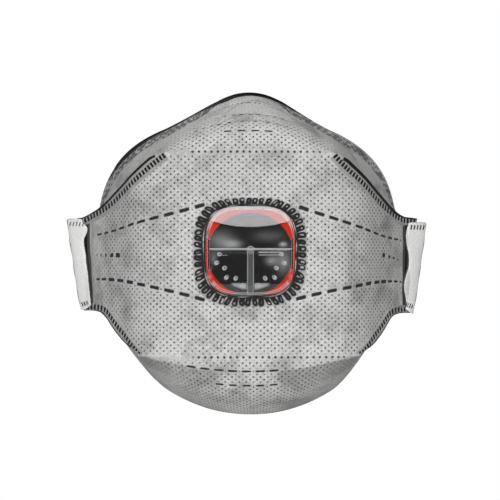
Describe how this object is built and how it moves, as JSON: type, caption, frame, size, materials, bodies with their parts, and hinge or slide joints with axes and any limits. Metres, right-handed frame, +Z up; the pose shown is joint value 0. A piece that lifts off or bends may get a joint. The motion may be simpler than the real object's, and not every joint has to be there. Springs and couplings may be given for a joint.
{
  "type": "respirator mask",
  "caption": "Fold-flat painter's respirator mask: grey fabric cup of hinged nose and chin panels, clear-covered exhalation valve with a lifting flap, side strap loops.",
  "frame": {"origin": "middle of the face opening, level with the valve's axis, in the plane of the cheek rim", "axes": "+Z up as worn, -Y the way the wearer looks (the valve's side), +X to the right of a viewer in front"},
  "size_m": [0.1634, 0.0567, 0.1425],
  "materials": {
    "outer_cover": "light grey point-bonded nonwoven, matte",
    "filter_core": "dark grey carbon-loaded nonwoven, matte",
    "inner_lining": "white smooth nonwoven, matte",
    "welded_lip": "grey nonwoven pressed flat by welding",
    "clip_metal": "soft annealed strip",
    "seal_foam": "black closed-cell foam, matte",
    "valve_weld": "dark melted weld with fine teeth",
    "red_moulding": "red moulding, satin",
    "flap_rubber": "black, smooth",
    "clear_moulding": "clear, gloss",
    "clamp_ring": "grey moulding, satin",
    "white_loop": "white nonwoven band, matte",
    "black_moulding": "black moulding, satin"
  },
  "bodies": {
    "cup": {"center_cover": "outer_cover", "center_filter": "filter_core", "center_lining": "inner_lining", "cheek_covers": "outer_cover", "cheek_filters": "filter_core", "cheek_linings": "inner_lining", "jaw_covers": "outer_cover", "jaw_filters": "filter_core", "jaw_linings": "inner_lining", "upper_left_seam": "welded_lip", "upper_right_seam": "welded_lip", "lower_left_seam": "welded_lip", "lower_right_seam": "welded_lip", "cheek_foams": "seal_foam", "valve_weld_ring": "valve_weld", "valve_base": "red_moulding", "flap_clamp": "black_moulding", "valve_cover": "clear_moulding", "valve_clamp_ring": "clamp_ring"},
    "nose_panel": {"nose_cover": "outer_cover", "nose_filter": "filter_core", "nose_lining": "inner_lining", "nose_clip": "clip_metal", "nose_foam": "seal_foam"},
    "chin_panel": {"chin_cover": "outer_cover", "chin_filter": "filter_core", "chin_lining": "inner_lining"},
    "flap": {"valve_flap": "flap_rubber"},
    "left_tab": {"left_strap_tab": "welded_lip", "left_strap_loop": "white_loop"},
    "right_tab": {"right_strap_tab": "welded_lip", "right_strap_loop": "white_loop"}
  },
  "joints": [
    {"name": "nose_panel_fold", "type": "hinge", "parent": "cup", "child": "nose_panel", "pos_m": [0, -0.0429, 0.04215], "axis": [-1, 0, 0], "range_deg": [0, 50]},
    {"name": "chin_panel_fold", "type": "hinge", "parent": "cup", "child": "chin_panel", "pos_m": [0, -0.0429, -0.04565], "axis": [1, 0, 0], "range_deg": [0, 50]},
    {"name": "flap_lift", "type": "hinge", "parent": "cup", "child": "flap", "pos_m": [0, -0.0488, 0.0145], "axis": [-1, 0, 0], "range_deg": [0, 8], "stiffness_Nm_per_rad": 0.002},
    {"name": "right_loop_swing", "type": "hinge", "parent": "cup", "child": "right_tab", "pos_m": [0.0698, -0.00876, -0.006], "axis": [0, 0, 1], "range_deg": [-20, 35], "stiffness_Nm_per_rad": 0.003},
    {"name": "left_loop_swing", "type": "hinge", "parent": "cup", "child": "left_tab", "pos_m": [-0.0698, -0.00876, -0.006], "axis": [0, 0, -1], "range_deg": [-20, 35], "stiffness_Nm_per_rad": 0.003}
  ]
}
